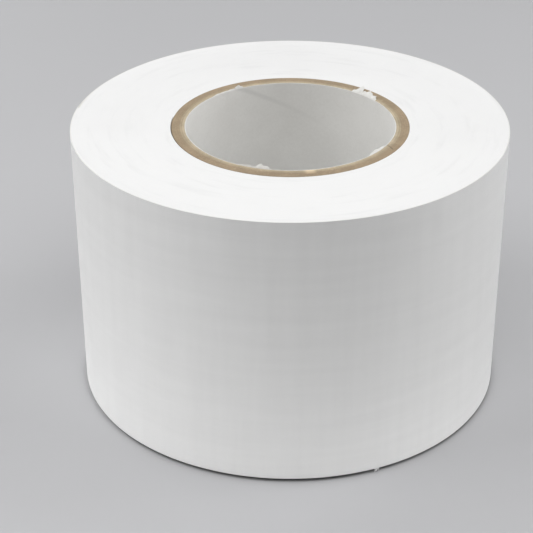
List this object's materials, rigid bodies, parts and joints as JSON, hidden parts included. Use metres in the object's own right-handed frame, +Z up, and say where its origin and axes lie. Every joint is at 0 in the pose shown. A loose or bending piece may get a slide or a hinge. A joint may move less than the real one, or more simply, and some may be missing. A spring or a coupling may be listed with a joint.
{
  "type": "roll of sail repair tape",
  "caption": "Wide roll of white self-adhesive sailcloth tape on a spiral-wound paper core, with a free end that lifts and a release liner that peels off it.",
  "frame": {"origin": "middle of the lower end, on the axis of the core's bore", "axes": "+Z up the bore, -Y towards the front of the roll in the picture, +X to its right"},
  "size_m": [0.1584, 0.1581, 0.1016],
  "materials": {
    "white_paper": "matte",
    "chipboard": "matte",
    "kraft": "matte",
    "tape_edge": "matte",
    "release_paper": "satin",
    "adhesive": "gloss",
    "sailcloth": "satin"
  },
  "bodies": {
    "roll": {"core_inside_liner": "white_paper", "core_ply_1": "chipboard", "core_ply_2": "chipboard", "core_ply_3": "kraft", "core_ply_4": "kraft", "core_ply_5": "kraft", "core_outer_ply": "kraft", "wound_turns": "tape_edge", "outer_turn_liner": "release_paper", "outer_turn_adhesive": "adhesive", "outer_turn_cloth": "sailcloth"},
    "tail": {"tail_liner": "release_paper", "tail_adhesive": "adhesive", "tail_cloth": "sailcloth"},
    "flap": {"liner_flap": "release_paper"}
  },
  "joints": [
    {"name": "tail_lift", "type": "hinge", "parent": "roll", "child": "tail", "pos_m": [-0.07873, 0.01106, 0.0508], "axis": [0, 0, 1], "range_deg": [0, 80], "stiffness_Nm_per_rad": 0.001},
    {"name": "liner_peel", "type": "hinge", "parent": "tail", "child": "flap", "pos_m": [-0.06923, 0.03834, 0.0508], "axis": [0, 0, -1], "range_deg": [0, 36]}
  ],
  "couplings": [
    {"joint": "liner_peel", "follows": "tail_lift", "ratio": 0.45}
  ]
}
